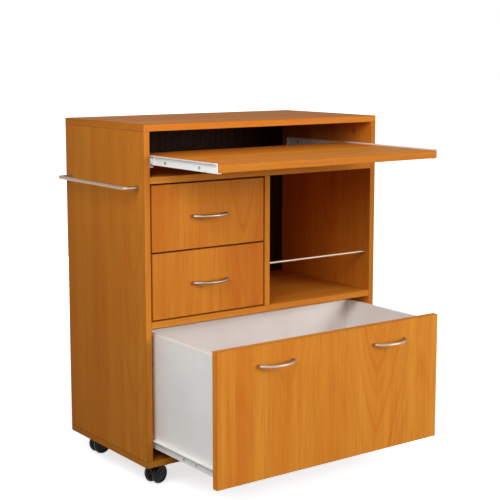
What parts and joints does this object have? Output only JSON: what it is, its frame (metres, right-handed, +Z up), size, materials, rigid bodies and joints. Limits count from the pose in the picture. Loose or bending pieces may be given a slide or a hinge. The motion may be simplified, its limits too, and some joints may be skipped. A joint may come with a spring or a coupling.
{
  "type": "microwave cart",
  "caption": "Kitchen cart on casters with a flat top for a microwave oven, a pull-out work board, drawers beside an open niche, a deep pan drawer and a towel rail.",
  "frame": {"origin": "on the floor, below the middle of the cabinet's footprint", "axes": "+Z up, -Y towards the front with its drawers and niche, +X to the right as seen from the front"},
  "size_m": [0.7436, 0.6675, 0.865],
  "materials": {
    "beech_panel": "satin melamine",
    "beech_shelf": "satin melamine",
    "back_board": "matt",
    "white_board": "satin melamine",
    "dowel_wood": "raw",
    "runner_steel": "white powder coat",
    "roller_nylon": "matt",
    "satin_nickel": "satin nickel",
    "zinc_plated": "bright zinc",
    "caster_plastic": "satin"
  },
  "bodies": {
    "cabinet": {"top_panel": "beech_panel", "left_side_panel": "beech_panel", "right_side_panel": "beech_panel", "bottom_panel": "beech_panel", "upper_shelf": "beech_shelf", "middle_shelf": "beech_shelf", "divider_panel": "beech_shelf", "back_panel": "back_board", "towel_rail": "satin_nickel", "towel_rail_screws": "zinc_plated", "niche_rail": "satin_nickel", "cam_bolts": "zinc_plated", "cam_locks": "zinc_plated", "wooden_dowels": "dowel_wood", "confirmat_screws": "zinc_plated", "back_panel_nails": "zinc_plated", "cabinet_runners": "runner_steel", "cabinet_runner_screws": "zinc_plated", "caster_plates": "zinc_plated", "caster_screws": "zinc_plated"},
    "front_left_caster": {"front_left_caster_housing": "caster_plastic"},
    "front_left_wheels": {"front_left_caster_wheels": "caster_plastic"},
    "front_right_caster": {"front_right_caster_housing": "caster_plastic"},
    "front_right_wheels": {"front_right_caster_wheels": "caster_plastic"},
    "rear_left_caster": {"rear_left_caster_housing": "caster_plastic"},
    "rear_left_wheels": {"rear_left_caster_wheels": "caster_plastic"},
    "rear_right_caster": {"rear_right_caster_housing": "caster_plastic"},
    "rear_right_wheels": {"rear_right_caster_wheels": "caster_plastic"},
    "pullout": {"pullout_board": "beech_panel", "pullout_runners": "runner_steel", "pullout_screws": "zinc_plated"},
    "upper_drawer": {"upper_drawer_front": "beech_panel", "upper_drawer_sides": "white_board", "upper_drawer_back": "white_board", "upper_drawer_bottom": "white_board", "upper_drawer_handle": "satin_nickel", "upper_drawer_runners": "runner_steel", "upper_drawer_fixings": "zinc_plated"},
    "lower_drawer": {"lower_drawer_front": "beech_panel", "lower_drawer_sides": "white_board", "lower_drawer_back": "white_board", "lower_drawer_bottom": "white_board", "lower_drawer_handle": "satin_nickel", "lower_drawer_runners": "runner_steel", "lower_drawer_fixings": "zinc_plated"},
    "large_drawer": {"large_drawer_front": "beech_panel", "large_drawer_sides": "white_board", "large_drawer_back": "white_board", "large_drawer_bottom": "white_board", "large_drawer_handles": "satin_nickel", "large_drawer_runners": "runner_steel", "large_drawer_fixings": "zinc_plated"},
    "upper_front_rollers": {"upper_front_rollers": "roller_nylon"},
    "upper_rear_rollers": {"upper_rear_rollers": "roller_nylon"},
    "lower_front_rollers": {"lower_front_rollers": "roller_nylon"},
    "lower_rear_rollers": {"lower_rear_rollers": "roller_nylon"},
    "large_front_rollers": {"large_front_rollers": "roller_nylon"},
    "large_rear_rollers": {"large_rear_rollers": "roller_nylon"},
    "pullout_front_rollers": {"pullout_front_rollers": "roller_nylon"},
    "pullout_rear_rollers": {"pullout_rear_rollers": "roller_nylon"}
  },
  "joints": [
    {"name": "front_left_swivel", "type": "hinge", "parent": "cabinet", "child": "front_left_caster", "pos_m": [-0.31, -0.14, 0.036], "axis": [0, 0, 1], "continuous": true},
    {"name": "front_left_roll", "type": "hinge", "parent": "front_left_caster", "child": "front_left_wheels", "pos_m": [-0.29487, -0.13479, 0.024], "axis": [-0.3256, 0.9455, 0], "continuous": true},
    {"name": "front_right_swivel", "type": "hinge", "parent": "cabinet", "child": "front_right_caster", "pos_m": [0.31, -0.14, 0.036], "axis": [0, 0, 1], "continuous": true},
    {"name": "front_right_roll", "type": "hinge", "parent": "front_right_caster", "child": "front_right_wheels", "pos_m": [0.32413, -0.13249, 0.024], "axis": [-0.4695, 0.8829, 0], "continuous": true},
    {"name": "rear_left_swivel", "type": "hinge", "parent": "cabinet", "child": "rear_left_caster", "pos_m": [-0.31, 0.14, 0.036], "axis": [0, 0, 1], "continuous": true},
    {"name": "rear_left_roll", "type": "hinge", "parent": "rear_left_caster", "child": "rear_left_wheels", "pos_m": [-0.29402, 0.14084, 0.024], "axis": [-0.0523, 0.9986, 0], "continuous": true},
    {"name": "rear_right_swivel", "type": "hinge", "parent": "cabinet", "child": "rear_right_caster", "pos_m": [0.31, 0.14, 0.036], "axis": [0, 0, 1], "continuous": true},
    {"name": "rear_right_roll", "type": "hinge", "parent": "rear_right_caster", "child": "rear_right_wheels", "pos_m": [0.32565, 0.13667, 0.024], "axis": [0.2079, 0.9781, 0], "continuous": true},
    {"name": "upper_slide", "type": "slide", "parent": "cabinet", "child": "upper_drawer", "axis": [0, -1, 0], "range_m": [0, 0.262]},
    {"name": "upper_front_rollers_turn", "type": "hinge", "parent": "cabinet", "child": "upper_front_rollers", "pos_m": [0, -0.159, 0.60215], "axis": [1, 0, 0], "range_deg": [-2, 1432]},
    {"name": "upper_rear_rollers_turn", "type": "hinge", "parent": "upper_drawer", "child": "upper_rear_rollers", "pos_m": [0, 0.157, 0.59975], "axis": [1, 0, 0], "range_deg": [-2, 1432]},
    {"name": "lower_slide", "type": "slide", "parent": "cabinet", "child": "lower_drawer", "axis": [0, -1, 0], "range_m": [0, 0.262]},
    {"name": "lower_front_rollers_turn", "type": "hinge", "parent": "cabinet", "child": "lower_front_rollers", "pos_m": [0, -0.159, 0.4434], "axis": [1, 0, 0], "range_deg": [-2, 1432]},
    {"name": "lower_rear_rollers_turn", "type": "hinge", "parent": "lower_drawer", "child": "lower_rear_rollers", "pos_m": [0, 0.157, 0.441], "axis": [1, 0, 0], "range_deg": [-2, 1432]},
    {"name": "large_slide", "type": "slide", "parent": "cabinet", "child": "large_drawer", "axis": [0, -1, 0], "range_m": [-0.259, 0.003]},
    {"name": "large_front_rollers_turn", "type": "hinge", "parent": "cabinet", "child": "large_front_rollers", "pos_m": [0, -0.159, 0.1104], "axis": [1, 0, 0], "range_deg": [-1416, 19]},
    {"name": "large_rear_rollers_turn", "type": "hinge", "parent": "large_drawer", "child": "large_rear_rollers", "pos_m": [0, -0.102, 0.108], "axis": [1, 0, 0], "range_deg": [-1416, 19]},
    {"name": "pullout_slide", "type": "slide", "parent": "cabinet", "child": "pullout", "axis": [0, -1, 0], "range_m": [-0.253, 0.009]},
    {"name": "pullout_front_rollers_turn", "type": "hinge", "parent": "cabinet", "child": "pullout_front_rollers", "pos_m": [0, -0.175, 0.7819], "axis": [1, 0, 0], "range_deg": [-1383, 52]},
    {"name": "pullout_rear_rollers_turn", "type": "hinge", "parent": "pullout", "child": "pullout_rear_rollers", "pos_m": [0, -0.112, 0.7795], "axis": [1, 0, 0], "range_deg": [-1383, 52]}
  ],
  "couplings": [
    {"joint": "upper_front_rollers_turn", "follows": "upper_slide", "rad_per_m": 95.238},
    {"joint": "upper_rear_rollers_turn", "follows": "upper_slide", "rad_per_m": 95.238},
    {"joint": "lower_front_rollers_turn", "follows": "lower_slide", "rad_per_m": 95.238},
    {"joint": "lower_rear_rollers_turn", "follows": "lower_slide", "rad_per_m": 95.238},
    {"joint": "large_front_rollers_turn", "follows": "large_slide", "rad_per_m": 95.238},
    {"joint": "large_rear_rollers_turn", "follows": "large_slide", "rad_per_m": 95.238},
    {"joint": "pullout_front_rollers_turn", "follows": "pullout_slide", "rad_per_m": 95.238},
    {"joint": "pullout_rear_rollers_turn", "follows": "pullout_slide", "rad_per_m": 95.238}
  ]
}
